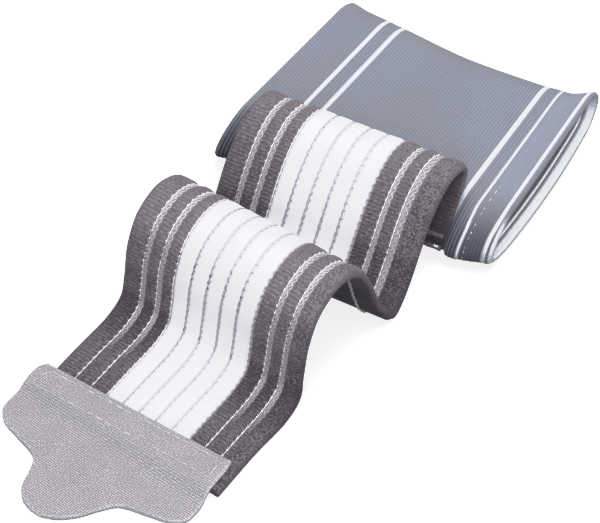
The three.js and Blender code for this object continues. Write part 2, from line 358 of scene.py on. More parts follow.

# %% [markdown]
# Where the band bends over a crest its loops are painted paler, a painted highlight for the light on the
# crest, and in a hollow they are painted darker, a painted shade. So each row keeps how hard the band bends
# there, softened over a few courses. The light bands lie closed on the flat end near the tab and open on the
# way up the first fold.

# %% Strap: rows of the mesh, and painted light and shade where the folds bend
ROWS_PER_COURSE = 3
CREST_RADIUS = 12.0
BLUR_ROWS = 25
BEND_BLUR = np.hanning(BLUR_ROWS) / np.hanning(BLUR_ROWS).sum()
BANDS_OPEN = (18, 38)
courses = int(STRAP_LENGTH / COURSE)
lengths = np.linspace(0, STRAP_LENGTH, courses * ROWS_PER_COURSE + 1)
heading = np.unwrap(np.arctan2(fine_slope[:, 2], fine_slope[:, 1]))
bend = np.interp(lengths, walked, np.gradient(heading, walked))
# Painted light: how much paler the loops are painted on a crest, a highlight, and darker in a hollow, a
# shade.
painted_fold_light = np.clip(-CREST_RADIUS * np.convolve(bend, BEND_BLUR, "same"), -1, 1)
opened = smooth(*BANDS_OPEN, lengths)
print(f"{len(lengths)} rows, {courses} courses, stretch {painted_fold_light.min():.2f} to {painted_fold_light.max():.2f}")

# %% [markdown]
# ## The strap's mesh
# A solidify modifier could thicken a plane, but then both faces would be alike. Here each ring goes over the
# ribbed face, down the right side, back under and up the left side. The underside is plain and needs only
# every third column. The two end faces are strips of small polygons between face and underside, so the band
# is one closed skin.

# %% Strap: the rings
UNDER_STEP = 3
UNDER_INSET = 0.7
SIDE_HEIGHTS = np.array([0.45, -0.6])
rows = lengths[:, None]
under = columns[::UNDER_STEP].copy()
under[[0, -1]] = UNDER_INSET - EDGE, EDGE - UNDER_INSET
top = on_strap(rows, columns, strap_height(rows, columns))
right = on_strap(rows, EDGE, SIDE_HEIGHTS)
bottom = on_strap(rows, under[::-1], -HALF_THICK)
left = on_strap(rows, -EDGE, SIDE_HEIGHTS[::-1])
rings = np.concatenate([top, right, bottom, left], 1)
around = rings.shape[1]
print(len(rings), "rings of", around, "points")

# %% Strap: marks for its material
SIDE_UNDER = 0.35
SPECKS_START = (1.2, 2.4)
face_columns = len(columns)
ring_across = np.concatenate([columns, [EDGE, EDGE], under[::-1], [-EDGE, -EDGE]])
yarn = np.zeros((around, 3))
yarn[:face_columns, 0], yarn[:face_columns, 1] = strap_yarn(columns)
yarn[face_columns:, 2] = 1
yarn[[-2, -1, face_columns, face_columns + 1], 2] = SIDE_UNDER
speckled = np.zeros(around)
speckled[:face_columns] = smooth(*SPECKS_START, columns - LINES[9])
strap_marks = {
    "cloth_mm": np.stack(np.broadcast_arrays(ring_across, rows, 0.0), -1),
    "yarn": np.broadcast_to(yarn, rings.shape),
    "fold": np.stack(np.broadcast_arrays(painted_fold_light[:, None], speckled, opened[:, None]), -1),
}
print("strap marks:", list(strap_marks))

# %% Strap: map of the rings
SIDE_WIDE = 1.8
RIGHT_SIDE, LEFT_SIDE = np.array([0.0, 1.3]), np.array([0.0, 0.8])
BOTH_SIDES, SPARE, MARGIN = 3.0, 1.5, 0.5
ONCE_ROUND = 4 * EDGE + BOTH_SIDES
MAP_WIDTH = ONCE_ROUND + SPARE
MAP_LENGTH = STRAP_LENGTH + 2 * STRAP_THICK
MAP_START = EDGE + MARGIN
under_map = 2 * EDGE + SIDE_WIDE - under[::-1]
unrolled = np.concatenate([columns, EDGE + RIGHT_SIDE, under_map, 3 * EDGE + SIDE_WIDE + LEFT_SIDE])
map_along = (rows + STRAP_THICK) / MAP_LENGTH
layout = np.stack(np.broadcast_arrays((unrolled + MAP_START) / MAP_WIDTH, map_along), -1)
faces = [face[::-1] for face in ring_faces(len(lengths), around)]
corner_map = [quad_map(layout, faces, (ONCE_ROUND / MAP_WIDTH, 0.0))]
print(f"strap map: {MAP_WIDTH:.1f} x {MAP_LENGTH:.1f} mm")

# %% Strap: end faces, and the object
SIDE_LEVELS = [0.3, 0.7]
first_under = face_columns + 2
last_under = first_under + len(under) - 1
caps = [
    [face_columns - 1, face_columns, face_columns + 1, first_under],
    [around - 2, around - 1, 0, last_under],
]
for j in range(len(under) - 1):
    above = list(range(j * UNDER_STEP, (j + 1) * UNDER_STEP + 1))
    caps.append(above + [last_under - j - 1, last_under - j])
ring_level = np.concatenate([0 * columns, SIDE_LEVELS, 1 + 0 * under, SIDE_LEVELS[::-1]])
for row, turned in ((0, 1), (len(lengths) - 1, -1)):
    cap_along = layout[row, 0, 1] - turned * ring_level * STRAP_THICK / MAP_LENGTH
    cap_places = np.stack([(ring_across + MAP_START) / MAP_WIDTH, cap_along], -1)
    for cap in caps:
        faces.append([row * around + k for k in cap][::turned])
        corner_map.append(cap_places[cap[::turned]])
strap = cloth_object("elastic_strap", rings, faces, strap_marks, corner_map)

# %% [markdown]
# ## Threads on the strap
# A bright thread runs along each dark groove, and two pale threads zigzag beside it once the band is past
# the flat. Grey threads mark the white ribs. At each stitch a short tooth leaves its thread, and on the
# underside a plain thread shows under the outer grooves. A curve with a bevel would do, but tubes worked out
# as arrays follow the cloth's face exactly and can swell at each stitch, which makes the row of dots that
# the eye sees.

# %% Tubes along paths
TUBE_SIDES = 6
NEARLY_UPRIGHT = 0.9


def thread_tubes(name, paths):
    """One object of many tubes. A path is its points in metres and the radius at each, in millimetres."""
    points, faces = [], []
    count = 0
    for path, radius in paths:
        forward = np.gradient(path, axis=0)
        forward /= np.linalg.norm(forward, axis=1)[:, None]
        upright = np.abs(forward[:, 2:]) >= NEARLY_UPRIGHT
        side = np.cross(forward, np.where(upright, [[0, 1.0, 0]], [[0, 0, 1.0]]))
        side /= np.linalg.norm(side, axis=1)[:, None]
        upward = np.cross(side, forward)
        angle = np.arange(TUBE_SIDES) * 2 * np.pi / TUBE_SIDES
        spokes = side[:, None] * np.cos(angle)[:, None] + upward[:, None] * np.sin(angle)[:, None]
        tube = path[:, None] + spokes * (np.asarray(radius)[:, None, None] * MM)
        tube[..., 2] = np.maximum(tube[..., 2], 0)
        points.append(tube.reshape(-1, 3))
        own = ring_faces(len(path), TUBE_SIDES)
        last = (len(path) - 1) * TUBE_SIDES
        own += [list(range(TUBE_SIDES))[::-1], list(range(last, last + TUBE_SIDES))]
        faces += [[k + count for k in face] for face in own]
        count += len(path) * TUBE_SIDES
    points = np.concatenate(points)
    return cloth_object(name, points, faces, {"cloth_mm": points / MM})


# %% Strap: a thread, and the teeth beside it
THREAD_STEP = 0.37
STITCH = 6 * THREAD_STEP
THREAD_START, THREAD_STOP = 0.4, 1.0
TEETH_START, TEETH_STOP = 1.0, 2.0
TOOTH = np.linspace(0, 1, 4)
TOOTH_TAPER = 0.5
THREAD_RISE, TOOTH_RISE = 0.45, 0.3
thread_lengths = np.arange(THREAD_START, STRAP_LENGTH - THREAD_STOP, THREAD_STEP)
beat = thread_lengths / STITCH * 2 * np.pi


def thread(line, swing, phase, radius, dot, face=1):
    """A thread on the face or (-1) the underside, which swings about its line and swells at stitches."""
    across = line + swing * np.arcsin(np.sin(beat + phase)) * 2 / np.pi
    thick = radius + dot * np.clip(np.cos(beat + phase), 0, 1) ** 2
    surface = strap_height(thread_lengths, across) if face > 0 else HALF_THICK
    return on_strap(thread_lengths, across, face * (surface + THREAD_RISE * thick)), thick


def teeth(line, reach, lean, radius, phase):
    """Short threads that leave a line at each stitch: reach is how far they go across, lean how far along."""
    paths = []
    for start in np.arange(TEETH_START + phase, STRAP_LENGTH - TEETH_STOP, STITCH):
        length, across = start + lean * TOOTH, line + reach * TOOTH
        height = strap_height(length, across) + TOOTH_RISE * radius
        paths.append((on_strap(length, across, height), radius * (1 - TOOTH_TAPER * TOOTH)))
    return paths


print(f"threads: {len(thread_lengths)} points each, a stitch every {STITCH:.2f} mm")

# %% Strap: threads on the dark grooves
PAST_FLAT = 20
CLOSED_ZIGZAG = 0.15
BRIGHT_OFFSET, ZIGZAG_OFFSETS, UNDER_OFFSET = -0.05, (0.6, 1.15), 0.7
BRIGHT = {"swing": 0.05, "radius": 0.12, "dot": 0.16}
BRIGHT_TEETH = {"reach": -0.5, "lean": 0.35, "radius": 0.11, "phase": 0.6}
ZIGZAG = {"swing": 0.32, "radius": 0.2, "dot": 0.08}
UNDER_THREAD = {"swing": 0.2, "phase": 0.0, "radius": 0.35, "dot": 0.0}
yarns = {"bright": [], "pale": [], "grey": [], "dark grey": []}
open_share = CLOSED_ZIGZAG + (1 - CLOSED_ZIGZAG) * smooth(*BANDS_OPEN, thread_lengths)
past_flat = thread_lengths > PAST_FLAT
for number, line in enumerate(DARK_LINES):
    yarns["bright"].append(thread(line + BRIGHT_OFFSET, phase=number, **BRIGHT))
    yarns["bright"] += teeth(line + BRIGHT_OFFSET, **BRIGHT_TEETH)
    for offset in ZIGZAG_OFFSETS:
        path, thick = thread(line + offset, phase=number + 4 * offset, **ZIGZAG)
        yarns["pale"].append((path[past_flat], (thick * open_share)[past_flat]))
for line in DARK_LINES[[0, 3]]:
    yarns["pale"].append(thread(line + UNDER_OFFSET, face=-1, **UNDER_THREAD))
print("dark grooves:", {name: len(paths) for name, paths in yarns.items()})

# %% Strap: threads on the white ribs
RIB_THREADS = table(
    "yarn line offset swing phase radius dot",
    ("bright", 2, -0.1, 0.05, 1.0, 0.15, 0.1),
    ("dark grey", 2, 0.32, 0.08, 2.0, 0.1, 0.1),
    ("dark grey", 3, 0.0, 0.1, 0.0, 0.24, 0.1),
    ("grey", 4, 0.0, 0.1, 0.0, 0.3, 0.1),
    ("grey", 5, 0.0, 0.1, 1.3, 0.3, 0.1),
    ("grey", 6, 0.0, 0.1, 2.6, 0.3, 0.1),
    ("pale", 7, 0.25, 0.32, 0.3, 0.2, 0.1),
)
RIB_TEETH = table(
    "yarn line offset reach lean radius phase",
    ("bright", 2, -0.1, -0.45, 0.3, 0.1, 0.9),
    ("dark grey", 2, 0.25, 0.5, -0.45, 0.13, 0.2),
    ("dark grey", 3, 0.0, 0.75, -0.6, 0.24, 0.3),
    ("grey", 4, 0.0, 0.75, -0.6, 0.26, 0.0),
    ("grey", 5, 0.0, 0.75, -0.6, 0.26, 0.4),
    ("grey", 6, 0.0, 0.75, -0.6, 0.26, 0.8),
    ("pale", 7, 0.2, 0.7, -0.3, 0.17, 0.5),
)
for row in RIB_THREADS:
    line = LINES[row["line"]] + row["offset"]
    yarns[row["yarn"]].append(thread(line, row["swing"], row["phase"], row["radius"], row["dot"]))
for row in RIB_TEETH:
    line = LINES[row["line"]] + row["offset"]
    yarns[row["yarn"]] += teeth(line, row["reach"], row["lean"], row["radius"], row["phase"])
bright_threads = thread_tubes("bright_threads", yarns["bright"])
pale_threads = thread_tubes("pale_threads", yarns["pale"])
grey_threads = thread_tubes("grey_threads", yarns["grey"])
dark_grey_threads = thread_tubes("dark_grey_threads", yarns["dark grey"])

# %% [markdown]
# ## The sleeve
# The sleeve is a flattened tube, knitted round in fine ribs with a white stripe here and there. Its front
# fold, the nose, is deep and low, and beside the strap's sewn end the knit is gathered forward. Its
# sections come from a table, and its two rims lie askew. A section is two rounded folds with a flat top and
# underside between them. Its points are counted from under the nose: 24 is the nose's tip, 48 the start of
# the top, 88 its end, 104 the heel, which is the back fold, and 120 the start of the underside.

# %% Sleeve: rows of sections
SLEEVE_NOSE = 14.5
SLEEVE_HEEL = 9.0
NOSE_MIDDLE = 0.36
HEEL_MIDDLE = 0.5
NOSE_UNDER = 2.4
HEEL_FULL = 2.0
NOSE_POINTS, FLAT_POINTS, HEEL_POINTS = 24, 40, 16
SLEEVE_ROWS = table(
    "at front back high lift nose",
    (0.0, 89.6, 160.0, 13.0, 1.0, 1.5),
    (0.07, 91.4, 159.0, 13.4, 0.2, 1.5),
    (0.2, 91.4, 157.6, 13.8, 0.0, 1.5),
    (0.5, 91.4, 154.8, 13.6, 0.0, 1.5),
    (0.82, 91.2, 154.6, 14.2, 0.0, 1.55),
    (0.852, 87.0, 154.9, 14.5, 0.0, 1.7),
    (0.91, 87.6, 155.2, 14.8, 0.0, 1.85),
    (1.0, 88.8, 157.6, 15.2, 1.2, 2.0),
)


def fold(end, out, level, middle, power, share):
    """A quarter of a rounded fold, from where the flat ends at a level to the furthest point out."""
    angle = share * np.pi / 2
    reach, rise = np.sin(angle) ** (2 / power), np.cos(angle) ** (2 / power)
    return np.stack([end + (out - end) * reach, middle + (level - middle) * rise], -1)


def sleeve_section(row, inset):
    """A section from under the nose round it, over the top and round the heel, drawn in by an inset."""
    low, high = row["lift"] + inset, row["lift"] + row["high"] - inset
    nose_middle = row["lift"] + row["high"] * NOSE_MIDDLE
    heel_middle = row["lift"] + row["high"] * HEEL_MIDDLE
    front_end, back_end = row["front"] + SLEEVE_NOSE, row["back"] - SLEEVE_HEEL
    front, back_most = row["front"] + inset, row["back"] - inset
    nose = np.arange(NOSE_POINTS) / NOSE_POINTS
    heel = np.arange(HEEL_POINTS) / HEEL_POINTS
    flat = np.arange(FLAT_POINTS) / FLAT_POINTS
    return np.concatenate([
        fold(front_end, front, low, nose_middle, NOSE_UNDER, nose),
        fold(front_end, front, high, nose_middle, row["nose"], 1 - nose),
        np.stack([front_end + (back_end - front_end) * flat, high + 0 * flat], -1),
        fold(back_end, back_most, high, heel_middle, HEEL_FULL, heel),
        fold(back_end, back_most, low, heel_middle, HEEL_FULL, 1 - heel),
        np.stack([back_end + (front_end - back_end) * flat, low + 0 * flat], -1),
    ])


print(len(sleeve_section(SLEEVE_ROWS[0], 0.0)), "points round a section")

# %% Sleeve: a ring anywhere along it
SLEEVE_TURN = np.radians(8.5)
SLEEVE_SIDE = 11.46
LEFT_RIM = {"front": -38.6, "back": -27.6, "sill": 0.0}
RIGHT_RIM = {"front": 49.8, "back": 54.2, "sill": 1.7}


def closed_steps(points):
    """The way from each point to the next, and from the last one back to the first."""
    return np.linalg.norm(np.roll(points, -1, axis=0) - points, axis=1)


def rim_line(rim, depth, height):
    """Where a rim lies along the sleeve. It goes askew from front to back, and its lower lip sticks out."""
    lower_lip = rim["sill"] * np.sin(np.pi * depth) * (1 - height)
    return rim["front"] + (rim["back"] - rim["front"]) * depth + lower_lip


def sleeve_ring(at, inset):
    """One ring of the sleeve in metres, how far round each of its points lies, and the whole way round."""
    at_rows = [row["at"] for row in SLEEVE_ROWS]
    spot = np.interp(at, at_rows, np.arange(len(at_rows)))
    row = {c: float(between(SLEEVE_ROWS, c, spot)) for c in ("front", "back", "high", "lift", "nose")}
    row["lift"] = max(row["lift"], 0.0)
    section = sleeve_section(row, inset)
    depth = (section[:, 0] - row["front"]) / (row["back"] - row["front"])
    height = (section[:, 1] - row["lift"]) / row["high"]
    left_end, right_end = (rim_line(rim, depth, height) for rim in (LEFT_RIM, RIGHT_RIM))
    x = left_end + (right_end - left_end) * at
    points = np.stack([
        x * np.cos(SLEEVE_TURN) - section[:, 0] * np.sin(SLEEVE_TURN) + SLEEVE_SIDE,
        x * np.sin(SLEEVE_TURN) + section[:, 0] * np.cos(SLEEVE_TURN),
        section[:, 1],
    ], -1)
    points[:, 2] = np.maximum(points[:, 2], 0)
    steps = closed_steps(section)
    return (points + SHIFT) * MM, np.cumsum(steps) - steps, steps.sum()


print(f"{sleeve_ring(0.5, 0.0)[2]:.1f} mm round the middle")

# %% [markdown]
# The white stripes are knitted in, each one or two ribs of white yarn. The right cuff has a wide and a narrow
# one, then one just short of the rim, and white yarn in the rim itself. A stripe that slants comes nearer to
# the rim, or further from it, on the nose. On the wrong side a white band lies inside each rim. All are
# given by how far they lie from a rim. Their yarn is thicker, so they also stand up a little.

# %% Sleeve: stripes
SLEEVE_LENGTH = 84.5
STRIPE_SOFT = 0.15
STRIPES = table(
    "rim middle half slant",
    ("left", 14.6, 0.6, 0.0),
    ("left", 20.2, 0.6, 0.0),
    ("right", 14.8, 0.65, 0.0),
    ("right", 9.8, 0.35, 0.6),
    ("right", 1.6, 0.6, -0.5),
    ("right", 0.2, 0.7, 0.0),
)
WRONG_SIDE = table("rim middle half slant", ("right", 1.3, 1.1, 0.0), ("left", 1.3, 1.1, 0.0))


def stripe_share(stripes, from_left, nose=0.0):
    """How much of a white stripe lies at a distance from the left rim. It may slant on the nose."""
    share = 0.0
    for stripe in stripes:
        distance = from_left if stripe["rim"] == "left" else SLEEVE_LENGTH - from_left
        past = np.abs(distance + stripe["slant"] * nose - stripe["middle"])
        share = np.maximum(share, smooth(stripe["half"] + STRIPE_SOFT, stripe["half"] - STRIPE_SOFT, past))
    return share


print(len(STRIPES), "stripes outside,", len(WRONG_SIDE), "inside")

# %% [markdown]
# The rings of the mesh run along the ribs, three to a rib, so drawing a ring in or out makes a rib or a
# groove. Near the right rim the knit is nearly plain. Each lip is a half round, and inside it a hem stands up
# a little. Deep in the sleeve one ring for each rib is enough.

# %% Sleeve: the rings outside, round the lips and inside
SLEEVE_WALL = 2.2
LIP = SLEEVE_WALL / 2
LIP_STEPS = 6
RIB = 0.95
ROWS_PER_RIB = 3
RIB_HIGH, STRIPE_HIGH = 0.1, 0.12
PLAIN_CUFF = (9.1, 8.1)
CUFF_PLAINNESS = 0.7
HEM_DEPTH = 4.6
HEM_THICK = 0.35
HEM_SOFT = 0.3
FINE_INSIDE = 11.0
ribs = int((SLEEVE_LENGTH - 2 * LIP) / RIB)
places = np.linspace(LIP, SLEEVE_LENGTH - LIP, ribs * ROWS_PER_RIB + 1)
plain_cuff = smooth(*PLAIN_CUFF, SLEEVE_LENGTH - places)
wave = np.cos(2 * np.pi * np.arange(len(places)) / ROWS_PER_RIB) * (1 - CUFF_PLAINNESS * plain_cuff)
outside = list(zip(places, -RIB_HIGH * wave - STRIPE_HIGH * stripe_share(STRIPES, places)))
turns = np.linspace(0, np.pi, LIP_STEPS + 2)[1:-1]
right_lip = [(SLEEVE_LENGTH - LIP + LIP * np.sin(a), LIP - LIP * np.cos(a)) for a in turns]
left_lip = [(LIP - LIP * np.sin(a), LIP + LIP * np.cos(a)) for a in turns]
from_rim = np.minimum(places, SLEEVE_LENGTH - places)
wanted = (from_rim < FINE_INSIDE) | (np.arange(len(places)) % ROWS_PER_RIB == 0)
inner_places, inner_rim = places[wanted][::-1], from_rim[wanted][::-1]
hem = HEM_THICK * smooth(HEM_DEPTH + HEM_SOFT, HEM_DEPTH - HEM_SOFT, inner_rim)
inside = list(zip(inner_places, SLEEVE_WALL + hem * smooth(LIP, LIP + 1, inner_rim)))
stack = outside + right_lip + inside + left_lip
made = [sleeve_ring(place / SLEEVE_LENGTH, inset) for place, inset in stack]
rings = np.array([points for points, _, _ in made])
print(ribs, "ribs,", len(rings), "rings of", rings.shape[1], "points")

# %% [markdown]
# The material needs to know three things at each point: how white its yarn is, how much painted highlight it
# gets on the crest of a rib, and how much painted shade. The nose gets painted shade, deepest between the
# ribs and in a dark line of painted groove shade beside the rim. The white of the lip shows on the nose
# and, half as strong, on the underside.

# %% Sleeve: crests of ribs and of the hem
CUFF_CREST = 0.3
PLAIN_CREST = 0.4
# Painted highlight: the hem's edge inside the mouth is a lighter line, for the light that catches it.
HEM_EDGE_HIGHLIGHT = 1.6
HEM_EDGE_STARTS, HEM_EDGE_ENDS = (-0.6, 0.0), (0.9, 0.4)
# Painted highlight: rib crests are painted lighter and the spaces between them darker; the plain cuff is a
# little lighter all over.
rib_crest = 0.5 + 0.5 * wave + CUFF_CREST * plain_cuff
hem_edge = smooth(*HEM_EDGE_STARTS, inner_rim - HEM_DEPTH) * smooth(*HEM_EDGE_ENDS, inner_rim - HEM_DEPTH)
lip_crest = np.full(LIP_STEPS, PLAIN_CREST)
crest = np.concatenate([rib_crest, lip_crest, HEM_EDGE_HIGHLIGHT * hem_edge, lip_crest])[:, None]
from_left = np.array([place for place, _ in stack])[:, None]
half_lip = [0.0] * (LIP_STEPS // 2) + [1.0] * (LIP_STEPS // 2)
is_inside = np.array([0.0] * len(outside) + half_lip + [1.0] * len(inside) + half_lip[::-1])[:, None]
print(f"{int(is_inside.sum())} of {len(stack)} rings show the wrong side")

# %% Sleeve: stripes and shade round each ring
NOSE_STARTS, NOSE_ENDS = (6, 14), (46, 34)
SHADE_STARTS, SHADE_ENDS = (0, 12), (54, 30)
UNDER_STARTS, UNDER_ENDS = (112, 122), (20, 8)
LIP_UNDER = 0.5
NOSE_SHADE = 0.8
RIB_SHADE = 0.45
RIM_GROOVE_SHADE, GROOVE_SHADE_HALF = 1.3, 0.35
counted = np.arange(rings.shape[1])
on_nose = smooth(*NOSE_STARTS, counted) * smooth(*NOSE_ENDS, counted)
on_under = smooth(*UNDER_STARTS, counted) + smooth(*UNDER_ENDS, counted)
right_side_out = stripe_share(STRIPES, from_left, on_nose)
stripe = np.where(is_inside > 0.5, stripe_share(WRONG_SIDE, from_left), right_side_out)
is_lip = (np.minimum(from_left, SLEEVE_LENGTH - from_left) < LIP) & (is_inside < 0.5)
stripe = stripe * np.where(is_lip, np.maximum(on_nose, LIP_UNDER * on_under), 1.0)
# Painted shade: the nose is darkened towards a deep blue-grey, and more so between its ribs.
painted_nose_shade = NOSE_SHADE * smooth(*SHADE_STARTS, counted) * smooth(*SHADE_ENDS, counted)
shaded = (is_inside < 0.5) * painted_nose_shade
# Painted shade: a dark line on the nose 1.3 mm from the right rim, for the shade of a groove beside the rim.
groove = np.exp(-(((SLEEVE_LENGTH - places - RIM_GROOVE_SHADE) / GROOVE_SHADE_HALF) ** 2))
between_ribs = 1 - RIB_SHADE * wave
ribbed_shade = shaded[: len(outside)] * between_ribs[:, None]
shaded[: len(outside)] = np.maximum(ribbed_shade, groove[:, None] * on_nose)
print(f"white share {stripe.mean():.2f}, shade up to {shaded.max():.2f}")

# %% Sleeve: map and object
TOP_POINT = 60
walks = np.array([walk for _, walk, _ in made])
rounds = np.array([[once] for _, _, once in made])
faces = ring_faces(len(stack), rings.shape[1], closed_along=True)
ring_steps = closed_steps(rings[:, TOP_POINT])
along_map = (np.cumsum(ring_steps) - ring_steps) / ring_steps.sum()
layout = np.stack(np.broadcast_arrays(walks / rounds, along_map[:, None]), -1)
either_way = np.minimum(walks, rounds - walks)
sleeve_marks = {
    "cloth_mm": np.stack(np.broadcast_arrays(from_left, either_way, is_inside), -1),
    "yarn": np.stack(np.broadcast_arrays(stripe, crest, shaded), -1),
}
sleeve = cloth_object("knitted_sleeve", rings, faces, sleeve_marks, [quad_map(layout, faces, (1.0, 1.0))])

# %% [markdown]
# ## The tab
# Hook tape is a thin stiff weave with hooks on its underside. It lies on the strap's end and comes down to
# the table just past it. The mesh is a grid over the outline from the table, closer at the edges, with the
# rim of the die cut rounded over. The rows of stitches press it down a little, and that is worked into its
# height, because a bump alone would not catch the light from the side.

# %% Tab: heights
TAB_THICK = 1.4
CLEARANCE = 0.3
TAB_DROP = 6.0
STRAP_END = STRAP_ROWS[0]["along"]
SEAM_BACK = 1.7
SEAM_FRONT = 7.6
DENT_DEEP, DENT_HALF = 0.16, 0.5
BACK_EDGE = TAB_ROWS[0]["along"]
BACK_SKEW = 1 / 30


def tab_underside(along):
    """The tab's underside above the table: on the strap, and down to the table past its end."""
    past = np.clip((STRAP_END - CLEARANCE - along) / TAB_DROP, 0, 1)
    return (STRAP_THICK + CLEARANCE) * (1 - past * past * (3 - 2 * past))


def tab_top(along):
    """The tab's upper face above the table, before edges and seams are worked in."""
    return tab_underside(along) + TAB_THICK


def seam_dent(flat):
    """How deep the rows of stitches press the tab in."""
    behind = BACK_EDGE + flat[..., 0] * BACK_SKEW - flat[..., 1]
    return DENT_DEEP * sum(np.exp(-(((behind - seam) / DENT_HALF) ** 2)) for seam in (SEAM_BACK, SEAM_FRONT))


tab_tip = TAB_ROWS[-1]["along"]
print(f"tab top {tab_top(STRAP_END):.1f} mm on the strap, {tab_top(tab_tip):.1f} mm on the table")

# %% Tab: the grid
TAB_ROUND = 0.7
TAB_STEPS_ALONG, TAB_STEPS_ACROSS = 133, 121
tab_spots = np.linspace(0, len(TAB_ROWS) - 1, TAB_STEPS_ALONG)[:, None]
tab_shares = np.sin(np.linspace(-np.pi / 2, np.pi / 2, TAB_STEPS_ACROSS))[None]
tab_flat = on_tab(tab_spots, tab_shares)
outline = np.concatenate([tab_flat[0], tab_flat[:, -1], tab_flat[-1, ::-1], tab_flat[::-1, 0]])
gap = np.array([np.linalg.norm(outline - point, axis=1).min() for point in tab_flat.reshape(-1, 2)])
gap = gap.reshape(tab_flat.shape[:2])
to_round = 1 - np.clip(gap / TAB_ROUND, 0, 1)
rounding = TAB_ROUND * (1 - np.sqrt(np.clip(1 - to_round**2, 0, 1)))
upper = tab_top(tab_flat[..., 1]) - rounding - seam_dent(tab_flat)
lower = tab_underside(tab_flat[..., 1])
top_face = np.concatenate([tab_flat, upper[..., None]], -1)
bottom_face = np.concatenate([tab_flat, lower[..., None]], -1)[:, ::-1]
rings = (np.concatenate([top_face, bottom_face], 1) + SHIFT) * MM
around = rings.shape[1]
print("tab grid:", rings.shape[:2])

# %% [markdown]
# On the tab's map the top and the underside lie side by side. The walls are folded out around the top, as
# wide as the tape is thick, so that nothing on the map overlaps.

# %% Tab: faces, map and object
EDGE_FADE = 0.2
faces = [face[::-1] for face in ring_faces(len(rings), around)]
for end, turned in ((0, 1), ((len(rings) - 1) * around, -1)):
    for k in range(TAB_STEPS_ACROSS - 1):
        quad = [k, k + 1, around - 2 - k, around - 1 - k]
        faces.append([end + corner for corner in quad][::turned])
is_under = np.repeat([0.0, 1.0], TAB_STEPS_ACROSS)
both = np.concatenate([tab_flat, tab_flat[:, ::-1]], 1)
outward = np.zeros_like(both)
outward[:, TAB_STEPS_ACROSS, 0] = 1
outward[:, -1, 0] = -1
outward[0, TAB_STEPS_ACROSS:, 1] = 1
outward[-1, TAB_STEPS_ACROSS:, 1] = -1
map_low = tab_flat.reshape(-1, 2).min(0) - TAB_THICK
map_size = (tab_flat.reshape(-1, 2).max(0) + TAB_THICK - map_low) * [2, 1]
folded_out = ((both + outward * TAB_THICK - map_low) / map_size).reshape(-1, 2)
quads = np.array(faces)
whole_under = is_under[quads % around].min(1)[:, None]
corner_map = folded_out[quads] + HALF_THE_MAP * np.stack([whole_under, 0 * whole_under], -1)
# Painted light: the cut edge and the tab's wall under it take the pale edge colour, which lifts the shade on
# the wall.
edge_mark = np.exp(-np.concatenate([gap, gap[:, ::-1]], 1) / EDGE_FADE)
tab_marks = {
    "cloth_mm": np.concatenate([both, np.broadcast_to(is_under[:, None], (*both.shape[:2], 1))], -1),
    "yarn": np.stack([edge_mark, 0 * edge_mark, 0 * edge_mark + is_under], -1),
}
tab = cloth_object("hook_tape_tab", rings, faces, tab_marks, corner_map)

# %% [markdown]
# ## Stitches on the tab
# The tab is sewn down with a box of straight stitches. Each stitch is a short thread that comes up through
# the cloth, lies on it and goes down, so its path is a low bow. A dashed line in the material would be
# quicker, but it would have no thickness.

# %% Stitches on the tab
SEAM_SIDE = 2.3
FRONT_SPOT = 2.0
TAB_STITCH = 3.0
STITCH_GAP = 0.7
STITCH_POINTS = 7
STITCH_SUNK = 0.12
STITCH_THIN, TAB_STITCH_SWELL = 0.1, 0.09
bow = np.sin(np.linspace(0, np.pi, STITCH_POINTS))


def tab_seam(start, end):
    """The stitches of one straight row on the tab, from start to end in the tables' millimetres."""
    start, end = np.array(start), np.array(end)
    count = int(np.linalg.norm(end - start) / TAB_STITCH)
    paths = []
    for i in range(count):
        shares = (i + np.linspace(0, 1 - STITCH_GAP / TAB_STITCH, STITCH_POINTS)) / count
        flat = start + (end - start) * shares[:, None]
        height = tab_top(flat[:, 1]) - seam_dent(flat) - STITCH_SUNK + 2 * STITCH_SUNK * bow
        points = (np.column_stack([flat, height]) + SHIFT) * MM
        paths.append((points, STITCH_THIN + TAB_STITCH_SWELL * bow))
    return paths


back_left = on_tab(0.0, -1.0) + [SEAM_SIDE, -SEAM_BACK]
back_right = on_tab(0.0, 1.0) + [-SEAM_SIDE, -SEAM_BACK]
front_left = [on_tab(FRONT_SPOT, -1.0)[0] + SEAM_SIDE, back_left[1] - SEAM_FRONT + SEAM_BACK]
front_right = [on_tab(FRONT_SPOT, 1.0)[0] - SEAM_SIDE, back_right[1] - SEAM_FRONT + SEAM_BACK]
tab_paths = tab_seam(back_left, back_right) + tab_seam(front_left, front_right)
tab_paths += tab_seam(front_left, back_left) + tab_seam(front_right, back_right)
tab_stitches = thread_tubes("tab_stitches", tab_paths)

# %% [markdown]
# ## The seam at the sleeve
# The strap's other end is turned in and overlocked to the sleeve's nose. What shows of it under the second
# fold are two soft rolls of cloth, and a row of short slanting stitches over the first of them. Rolls and
# stitches are tubes along the strap's underside, and the rolls ripple a little, as drawn-in cloth does.

